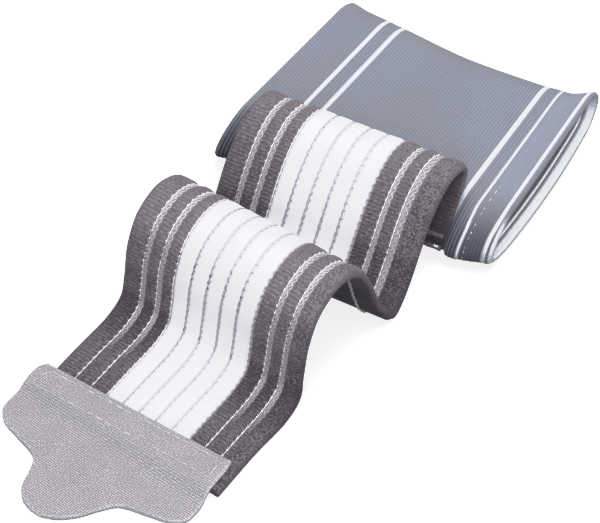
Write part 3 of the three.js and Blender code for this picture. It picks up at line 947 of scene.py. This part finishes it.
# %% Rolls and stitches of the seam
SEAM_ROLLS = ((4.4, 0.7), (0.9, 0.8))
ROLL_ENDS, ROLL_POINTS = (-29.4, 29.6), 90
ROLL_RISE = 0.3
RIPPLE_SHARE, RIPPLE_TURN = 0.12, 2.4
SEAM_HALF, SEAM_PITCH = 28.5, 1.7
SEAM_START, SEAM_LONG, SEAM_WIDE, SEAM_HIGH = 5.0, 1.6, 0.9, 0.9
SEAM_STITCH_SWELL = 0.08
roll_across = np.linspace(*ROLL_ENDS, ROLL_POINTS)
seam_paths = []
for from_end, radius in SEAM_ROLLS:
    ripple = radius * (1 + RIPPLE_SHARE * np.sin(roll_across * RIPPLE_TURN))
    path = on_strap(STRAP_LENGTH - from_end, roll_across, -HALF_THICK - ROLL_RISE * radius)
    seam_paths.append((path, ripple))
for place in np.arange(-SEAM_HALF, SEAM_HALF, SEAM_PITCH):
    across = place + np.linspace(0, SEAM_WIDE, STITCH_POINTS)
    length = STRAP_LENGTH - SEAM_START + np.linspace(0, SEAM_LONG, STITCH_POINTS)
    path = on_strap(length, across, -HALF_THICK - SEAM_HIGH * bow)
    seam_paths.append((path, STITCH_THIN + SEAM_STITCH_SWELL * bow))
seam_stitches = thread_tubes("seam_stitches", seam_paths)

# %% [markdown]
# ## White threads at the right cuff
# Three small things in white thread finish the cuff: the knot where the seam ends, a rolled edge of the hem
# that shows as a light line inside the mouth, its white a painted highlight for the light that catches it,
# and a broken line of single stitches on the nose. The knot hangs on the strap's underside. The other two
# follow rings of the sleeve, so they keep to the knit.

# %% Knot, hem roll and single stitches
KNOT_ENDS, KNOT_FROM_END = (28.2, 29.2), 2.2
KNOT_HIGH, KNOT_BOW, KNOT_RADIUS = 1.2, 0.2, 0.35
HEM_LINE, HEM_RISE = 3.5, 0.9
HEM_FIRST, HEM_LAST = 106, 14
HEM_TIP, HEM_RADIUS, HEM_TAPER = 0.12, 0.36, 0.15
DOTTED_LINE, DOTTED_HIGH = 7.6, 0.12
DOTS, DOT_FIRST, DOT_PITCH = 14, 14, 3
DOT_THIN = 0.06
# Angles that come back to no whole turn make the line of stitches uneven.
SHIFT_TURN, SIZE_TURN = 1.9, 2.3
knot_across = np.linspace(*KNOT_ENDS, STITCH_POINTS)
knot_height = -HALF_THICK - KNOT_HIGH - KNOT_BOW * bow
knot = on_strap(STRAP_LENGTH - KNOT_FROM_END, knot_across, knot_height)
cuff_paths = [(knot, np.full(STITCH_POINTS, KNOT_RADIUS))]
# Painted highlight: the hem roll is drawn in white for the light that catches the hem's edge.
ring = sleeve_ring(1 - HEM_LINE / SLEEVE_LENGTH, SLEEVE_WALL + HEM_RISE)[0]
hem_path = np.concatenate([ring[HEM_FIRST:], ring[:HEM_LAST]])
share = np.linspace(0, 1, len(hem_path))
tapered = smooth(0, HEM_TAPER, share) * smooth(1, 1 - HEM_TAPER, share)
cuff_paths.append((hem_path, HEM_TIP + HEM_RADIUS * tapered))
ring = sleeve_ring(1 - DOTTED_LINE / SLEEVE_LENGTH, -DOTTED_HIGH)[0]
for number in range(DOTS):
    first = DOT_FIRST + DOT_PITCH * number + int(2 * np.sin(SHIFT_TURN * number) ** 2)
    radius = DOT_THIN * (1 + np.cos(SIZE_TURN * number) ** 2)
    cuff_paths.append((ring[first:first + 2], np.full(2, radius)))
cuff_dots = thread_tubes("cuff_dots", cuff_paths)

# %% [markdown]
# ## Words for materials
# A colour is written as it is seen, as an sRGB hex value, and turned to the linear numbers that light is
# worked out in. One function adds a node: each input is a plain value, or a node or output to link, and the
# node's own output can go into a socket. Most cloth tones lie between a dark and a light end.

# %% Colours and nodes
def linear(code):
    """An sRGB hex colour as linear numbers."""
    values = [int(code[i:i + 2], 16) / 255 for i in (1, 3, 5)]
    return [v / 12.92 if v <= 0.04045 else ((v + 0.055) / 1.055) ** 2.4 for v in values] + [1.0]


def tones(dark, light):
    """The two ends of a mix of colours."""
    return {"A": linear(dark), "B": linear(light)}


def add(tree, kind, inputs=None, into=None, **settings):
    """A new node with its settings and links."""
    made = tree.nodes.new("ShaderNode" + kind)
    for name, value in settings.items():
        setattr(made, name, value)
    for name, value in (inputs or {}).items():
        usable = [socket for socket in made.inputs if socket.enabled]
        socket = usable[name] if isinstance(name, int) else next(s for s in usable if s.name == name)
        if isinstance(value, bpy.types.Node):
            value = next(output for output in value.outputs if output.enabled)
        if isinstance(value, bpy.types.NodeSocket):
            tree.links.new(value, socket)
        else:
            socket.default_value = value
    if into is not None:
        tree.links.new(next(output for output in made.outputs if output.enabled), into)
    return made


# %% [markdown]
# All the cloths share a start: a rough fibre surface with a little sheen, the index of refraction of nylon
# and polyester, and the marks that the meshes carry. They also share an end: the dye wanders by a few percent
# in patches, and a relief finer than the mesh is left to bump.

# %% A cloth material's start and end
FIBRE_IOR = 1.53
FIBRE_GLOSS = 0.2
SHEEN_ROUGHNESS = 0.5
PATCH_TONES = {"To Min": 0.93, "To Max": 1.06}


def cloth_material(name, roughness, sheen):
    """A new material, its tree and shader, the place on the cloth, and the yarn mark's three parts."""
    material = bpy.data.materials.new(name)
    material.use_nodes = True
    tree = material.node_tree
    shader = tree.nodes["Principled BSDF"]
    shader.inputs["Roughness"].default_value = roughness
    shader.inputs["IOR"].default_value = FIBRE_IOR
    shader.inputs["Specular IOR Level"].default_value = FIBRE_GLOSS
    shader.inputs["Sheen Weight"].default_value = sheen
    shader.inputs["Sheen Roughness"].default_value = SHEEN_ROUGHNESS
    place = add(tree, "Attribute", attribute_name="cloth_mm").outputs["Vector"]
    yarn_mark = add(tree, "Attribute", attribute_name="yarn").outputs["Vector"]
    yarn = add(tree, "SeparateXYZ", {"Vector": yarn_mark})
    return material, tree, shader, place, yarn.outputs


def finish_cloth(tree, shader, place, colour, patch, relief, high):
    """Gives the shader a colour that wanders in patches, and a relief. Patch and height are in mm."""
    dye = add(tree, "TexNoise", {"Vector": place, "Scale": 1 / patch, "Detail": 2.0})
    tone = add(tree, "MapRange", {"Value": dye.outputs["Fac"], **PATCH_TONES})
    add(tree, "VectorMath", {0: colour, 1: tone}, shader.inputs["Base Color"], operation="MULTIPLY")
    add(tree, "Bump", {"Strength": 1.0, "Distance": high * MM, "Height": relief}, shader.inputs["Normal"])


# %% [markdown]
# ## Elastic knit
# Nylon and elastane warp knit, matt and slightly fuzzy. The dark yarn is a warm grey with paler loop heads
# that catch the light, the white one is bleached and nearly flat, and the zigzag ground is pale grey. The
# loop heads are streaks of noise, 1.25 mm across and half a millimetre along, and a wave of 1.11 mm lines
# them up with the courses. A tidy lattice of loops would look printed. The outer right rib shows 0.5 mm
# specks instead. On a crest all of them are painted paler as a highlight, and in a hollow darker as shade.

# %% Elastic knit: its grain
STREAK_ACROSS, STREAK_ALONG = 1.25, 0.47619
SPECK = 0.5
FIBRE = 0.454545
FIBRE_DETAIL = {"Detail": 3.0, "Roughness": 0.7}
# Painted highlight and shade: how far a fold's crest lightens the loops and its hollow darkens them.
CREST_PAINTED_LIGHT = 0.16
# Blender's wave texture has one band in this length at scale 1.
WAVE_BAND = 2 * np.pi / 20


def elastic_grain(tree, place, fold_light, speckled):
    """The fibre noise, and how light the loops are, with painted highlight on crests and painted shade in
    hollows.
    """
    stretch_by = (1 / STREAK_ACROSS, 1 / STREAK_ALONG, 1.0)
    lengthened = add(tree, "VectorMath", {0: place, 1: stretch_by}, operation="MULTIPLY")
    streak = add(tree, "TexNoise", {"Vector": lengthened, "Scale": 1.0, **FIBRE_DETAIL})
    dash = add(tree, "MapRange", {"Value": streak.outputs["Fac"], "From Min": 0.38, "From Max": 0.66})
    wave_inputs = {"Vector": place, "Scale": WAVE_BAND / COURSE, "Phase Offset": np.pi / 2}
    course = add(tree, "TexWave", wave_inputs, bands_direction="Y")
    aligned = add(tree, "MapRange", {"Value": course.outputs["Fac"], "To Min": 0.45, "To Max": 1.0})
    dashes = add(tree, "Math", {0: dash, 1: aligned}, operation="MULTIPLY")
    specks = add(tree, "TexVoronoi", {"Vector": place, "Scale": 1 / SPECK, "Randomness": 1.0})
    dots = add(tree, "MapRange", {"Value": specks.outputs["Distance"], "From Min": 0.7, "From Max": 0.0})
    loops = add(tree, "Mix", {"Factor": speckled, "A": dashes, "B": dots})
    fibre = add(tree, "TexNoise", {"Vector": place, "Scale": 1 / FIBRE, **FIBRE_DETAIL})
    grain = add(tree, "Math", {0: loops, 1: fibre.outputs["Fac"]}, operation="MULTIPLY")
    # Painted light: loops paler on the folds' crests and darker in their hollows.
    grain = add(tree, "Math", {0: fold_light, 1: CREST_PAINTED_LIGHT, 2: grain}, operation="MULTIPLY_ADD")
    return fibre.outputs["Fac"], grain


# %% Material: elastic knit
DARK_YARN = tones("#4E4750", "#C0B9C0")
WHITE_YARN = tones("#E6E5EB", "#F1F0F5")
BAND_GROUND = tones("#9A979B", "#C4C1C5")
# The underside's plain dark yarn, painted darker still as painted shade for the shade inside the folds.
PLAIN_UNDERSIDE_IN_SHADE = tones("#423C45", "#6E6871")
STRAP_PATCH = 8.33333
STRAP_RELIEF = 0.06


def elastic_knit():
    # Gives the eye a matt, lively grey beside an even white, with crests painted paler as a highlight.
    material, tree, shader, place, (white, band, under) = cloth_material("nylon_elastic_knit", 0.92, 0.1)
    fold_mark = add(tree, "Attribute", attribute_name="fold").outputs["Vector"]
    fold_light, speckled, open_band = add(tree, "SeparateXYZ", {"Vector": fold_mark}).outputs
    fibre, grain = elastic_grain(tree, place, fold_light, speckled)
    dark = add(tree, "Mix", {"Factor": grain, **DARK_YARN}, data_type="RGBA")
    clean = add(tree, "Mix", {"Factor": fibre, **WHITE_YARN}, data_type="RGBA")
    ground = add(tree, "Mix", {"Factor": fibre, **BAND_GROUND}, data_type="RGBA")
    # Painted shade: the plain underside, darker than its yarn is.
    plain = add(tree, "Mix", {"Factor": grain, **PLAIN_UNDERSIDE_IN_SHADE}, data_type="RGBA")
    shown = add(tree, "Math", {0: band, 1: open_band}, operation="MULTIPLY")
    face = add(tree, "Mix", {"Factor": white, "A": dark, "B": clean}, data_type="RGBA")
    face = add(tree, "Mix", {"Factor": shown, "A": face, "B": ground}, data_type="RGBA")
    face = add(tree, "Mix", {"Factor": under, "A": face, "B": plain}, data_type="RGBA")
    relief = add(tree, "Math", {0: fibre, 1: grain}, operation="ADD")
    finish_cloth(tree, shader, place, face, STRAP_PATCH, relief, STRAP_RELIEF)
    return material


strap.data.materials.append(elastic_knit())
print("material:", strap.data.materials[0].name)

# %% [markdown]
# ## Ribbed knit of the sleeve
# A softer weft knit of cotton and nylon in blue-grey with white stripes. Ribs 0.95 mm wide get a painted
# highlight on their crests and painted shade between, and along each rib small loops 0.8 mm long break the
# line up. The nose gets painted shade down to a deep blue-grey, and the wrong side inside the mouth is a
# little paler than the face.

# %% Material: ribbed knit
RIB_FACE = tones("#848997", "#B8BBC3")
RIB_WRONG_SIDE = tones("#8B8F9A", "#C4C6CC")
STRIPE_YARN = tones("#E2E5EE", "#F8FAFF")
# Painted shade: the deep blue-grey that the nose is darkened towards.
RIB_SHADOW = linear("#444757")
LOOP_LONG = 0.8
SLEEVE_PATCH = 16.66667
SLEEVE_RELIEF = 0.07


def ribbed_knit():
    # Gives the eye fine lines round the sleeve, matt and soft, and white ribs that stand out cleanly.
    material, tree, shader, place, yarn = cloth_material("cotton_nylon_rib_knit", 0.95, 0.15)
    stripe, crest, shaded = yarn
    inner = add(tree, "SeparateXYZ", {"Vector": place}).outputs["Z"]
    cells = add(tree, "VectorMath", {0: place, 1: (1 / RIB, 1 / LOOP_LONG, 1.0)}, operation="MULTIPLY")
    loop = add(tree, "TexVoronoi", {"Vector": cells, "Scale": 1.0, "Randomness": 0.6})
    head = add(tree, "MapRange", {"Value": loop.outputs["Distance"], "From Min": 0.65, "From Max": 0.15})
    fibre = add(tree, "TexNoise", {"Vector": place, "Scale": 1 / FIBRE, **FIBRE_DETAIL})
    # Painted highlight: the crest mark lightens rib crests and the hem's edge.
    light = add(tree, "Math", {0: crest, 1: fibre.outputs["Fac"]}, operation="MULTIPLY")
    outer = add(tree, "Mix", {"Factor": light, **RIB_FACE}, data_type="RGBA")
    # Painted shade: the nose mixes towards the deep blue-grey.
    outer = add(tree, "Mix", {"Factor": shaded, "A": outer, "B": RIB_SHADOW}, data_type="RGBA")
    wrong = add(tree, "Mix", {"Factor": crest, **RIB_WRONG_SIDE}, data_type="RGBA")
    grey = add(tree, "Mix", {"Factor": inner, "A": outer, "B": wrong}, data_type="RGBA")
    white = add(tree, "Mix", {"Factor": head, **STRIPE_YARN}, data_type="RGBA")
    face = add(tree, "Mix", {"Factor": stripe, "A": grey, "B": white}, data_type="RGBA")
    relief = add(tree, "Math", {0: fibre.outputs["Fac"], 1: head}, operation="ADD")
    finish_cloth(tree, shader, place, face, SLEEVE_PATCH, relief, SLEEVE_RELIEF)
    return material


sleeve.data.materials.append(ribbed_knit())
print("material:", sleeve.data.materials[0].name)

# %% [markdown]
# ## Hook tape
# A plain weave of pale grey nylon, stiffened at the back, with a paler cut edge. The edge and the tab's wall
# under it are painted lighter still, a painted light against the shade on the wall. Warp and weft are two
# waves, and a checker says which of them lies on top. The threads lie about 0.4 mm apart, which is too fine
# for this picture, so they are drawn half as wide again.

# %% Material: hook tape
TAPE_YARN = tones("#807E81", "#D0CED1")
# A paler cut edge, painted lighter still as painted light against the shade on the tab's wall.
CUT_EDGE_WITH_LIGHT = linear("#E0DFE2")
TAPE_THREAD = 0.6
TAPE_FIBRE = 0.5
TAPE_PATCH = 10.0
TAPE_RELIEF = 0.12
OVER_LIGHT, SPECK_LIGHT = 0.6, 0.5


def hook_tape():
    # Gives the eye a crisp, even grain that is slightly glossier than the knits.
    material, tree, shader, place, (edge, _, _) = cloth_material("nylon_hook_tape", 0.8, 0.08)
    threads = {"Vector": place, "Scale": WAVE_BAND / TAPE_THREAD, "Distortion": 0.6}
    warp = add(tree, "TexWave", threads, bands_direction="X")
    weft = add(tree, "TexWave", threads, bands_direction="Y")
    check = add(tree, "TexChecker", {"Vector": place, "Scale": 1 / TAPE_THREAD}).outputs["Fac"]
    over = add(tree, "Mix", {"Factor": check, "A": warp.outputs["Fac"], "B": weft.outputs["Fac"]})
    fibre_inputs = {"Vector": place, "Scale": 1 / TAPE_FIBRE, "Detail": 4.0, "Roughness": 0.75}
    fibre = add(tree, "TexNoise", fibre_inputs)
    speck = add(tree, "MapRange", {"Value": fibre.outputs["Fac"], "From Min": 0.35, "From Max": 0.65})
    light = add(tree, "Math", {0: over, 1: OVER_LIGHT}, operation="MULTIPLY")
    light = add(tree, "Math", {0: speck, 1: SPECK_LIGHT, 2: light}, operation="MULTIPLY_ADD")
    weave = add(tree, "Mix", {"Factor": light, **TAPE_YARN}, data_type="RGBA")
    face = add(tree, "Mix", {"Factor": edge, "A": weave, "B": CUT_EDGE_WITH_LIGHT}, data_type="RGBA")
    finish_cloth(tree, shader, place, face, TAPE_PATCH, over, TAPE_RELIEF)
    return material


tab.data.materials.append(hook_tape())
print("material:", tab.data.materials[0].name)

# %% [markdown]
# ## Threads
# Spun polyester, a little glossier than knit. The twist of a sewing thread is about 0.5 mm long and shows
# as a slight change of tone along it.

# %% Material: spun threads
TWIST = 0.5
TWIST_RELIEF = 0.05


def spun_thread(name, dark, light):
    # Gives the eye a fine line with a soft gleam that comes and goes along it.
    material, tree, shader, place, _ = cloth_material(name, 0.6, 0.05)
    twist = add(tree, "TexNoise", {"Vector": place, "Scale": 1 / TWIST, "Detail": 2.0})
    add(tree, "Mix", {"Factor": twist, **tones(dark, light)}, shader.inputs["Base Color"], data_type="RGBA")
    bump = {"Strength": 1.0, "Distance": TWIST_RELIEF * MM, "Height": twist}
    add(tree, "Bump", bump, shader.inputs["Normal"])
    return material


for piece, name, dark, light in (
    (bright_threads, "white_polyester_thread", "#E4E1E6", "#FFFFFF"),
    (pale_threads, "pale_polyester_thread", "#ADABAF", "#D4D2D6"),
    (grey_threads, "grey_polyester_thread", "#AEADB1", "#D0CFD2"),
    (dark_grey_threads, "dark_grey_polyester_thread", "#A5A4A8", "#C8C7CA"),
    (tab_stitches, "tab_sewing_thread", "#B6B5B8", "#D2D1D4"),
    (seam_stitches, "seam_overlock_thread", "#57515A", "#7A747B"),
):
    piece.data.materials.append(spun_thread(name, dark, light))
# The hem roll's white is a painted highlight; the knot and the single stitches are white thread.
cuff_dots.data.materials.append(bright_threads.data.materials[0])
print("threads:", {name: len(paths) for name, paths in yarns.items()})

# %% [markdown]
# ## What each piece is
# Every piece rides on the model's one body. The three skins each stand for the solid that they cover, and
# the threads are extra.

# %% Bodies, solids and slots
skins = (
    (strap, "wrap_strap", "strap_elastic"),
    (sleeve, "wrist_sleeve", "sleeve_knit"),
    (tab, "hook_tab", "tab_tape"),
)
sewn_on = (
    (bright_threads, "strap_elastic"),
    (pale_threads, "strap_elastic"),
    (grey_threads, "strap_elastic"),
    (dark_grey_threads, "strap_elastic"),
    (cuff_dots, "sleeve_knit"),
    (tab_stitches, "tab_tape"),
    (seam_stitches, "strap_elastic"),
)
for piece, node, slot in skins:
    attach(piece, "root")
    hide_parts(node)
for piece, slot in sewn_on:
    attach(piece, "root")
print(len(skins), "skins and", len(sewn_on), "pieces of thread ride on the body")

# %% [markdown]
# ## Floor and surroundings
# A pale matt floor, and dim light from all round above it. A white floor would light the folds from below,
# and the walls would look as bright as the flats. So the floor is hidden from the cloth's diffuse rays and
# the surroundings are dark below the horizon. The floor also glows a little, as a light table does, which
# keeps the shadow on it faint.

# %% Floor
FLOOR_HALF = 3.0
FLOOR_DROP = 0.05
FLOOR_GLOW = 0.62
floor_mesh = bpy.data.meshes.new("floor")
floor_corners = [(x * FLOOR_HALF, y * FLOOR_HALF, 0) for x, y in ((-1, -1), (1, -1), (1, 1), (-1, 1))]
floor_mesh.from_pydata(floor_corners, [], [(0, 1, 2, 3)])
floor = bpy.data.objects.new("floor", floor_mesh)
floor.location.z = -FLOOR_DROP * MM
floor.visible_diffuse = False
bpy.context.scene.collection.objects.link(floor)
# Matt white acrylic: gives the eye an even white with only a breath of shadow.
acrylic = bpy.data.materials.new("white_acrylic")
acrylic.use_nodes = True
surface = acrylic.node_tree.nodes["Principled BSDF"].inputs
surface["Base Color"].default_value = linear("#C8C8C8")
surface["Roughness"].default_value = 0.9
surface["Emission Color"].default_value = linear("#FFFFFF")
surface["Emission Strength"].default_value = FLOOR_GLOW
floor_mesh.materials.append(acrylic)
print("floor:", 2 * FLOOR_HALF, "m square")

# %% Surroundings
SKY_STRENGTH = 0.6
HORIZON = {"From Min": -0.02, "From Max": 0.02, "To Min": 0.0, "To Max": SKY_STRENGTH}
world = bpy.data.worlds.new("studio")
bpy.context.scene.world = world
world.use_nodes = True
sky = world.node_tree
background = sky.nodes["Background"].inputs
background["Color"].default_value = linear("#FDFDFF")
direction = add(sky, "TexCoord").outputs["Generated"]
upward = add(sky, "SeparateXYZ", {"Vector": direction}).outputs["Z"]
add(sky, "MapRange", {"Value": upward, **HORIZON}, background["Strength"])
print("sky strength above the horizon:", SKY_STRENGTH)

# %% [markdown]
# ## Light
# A broad soft lamp overhead models the folds, and a weaker one near the camera keeps their fronts readable.
# The camera of the photograph holds bright tones together: white cloth stays white on the steep walls too.
# A shoulder in the tone curve does the same here.

# %% Lamps and tone curve
LAMPS = table(
    "name place size watts",
    ("overhead", (0.15, 0.12, 0.9), 0.8, 4.6),
    ("front_fill", (0.5, -0.75, 0.45), 0.5, 2.0),
)
LAMPS_AIM = Vector((0, 0, 0.02))
for lamp in LAMPS:
    light = bpy.data.lights.new(lamp["name"], "AREA")
    light.size = lamp["size"]
    light.energy = lamp["watts"]
    stand = bpy.data.objects.new(lamp["name"], light)
    stand.location = lamp["place"]
    stand.rotation_mode = "QUATERNION"
    stand.rotation_quaternion = (Vector(lamp["place"]) - LAMPS_AIM).to_track_quat("Z", "Y")
    bpy.context.scene.collection.objects.link(stand)

TONE_POINTS = ((0.2, 0.2), (0.42, 0.42), (0.55, 0.74), (0.7, 0.84), (0.88, 0.9))
ALL_CHANNELS = 3
view = bpy.context.scene.view_settings
view.view_transform = "Standard"
view.use_curve_mapping = True
for dim, lifted in TONE_POINTS:
    view.curve_mapping.curves[ALL_CHANNELS].points.new(dim, lifted)
view.curve_mapping.update()
print("lamps:", [lamp["name"] for lamp in LAMPS])
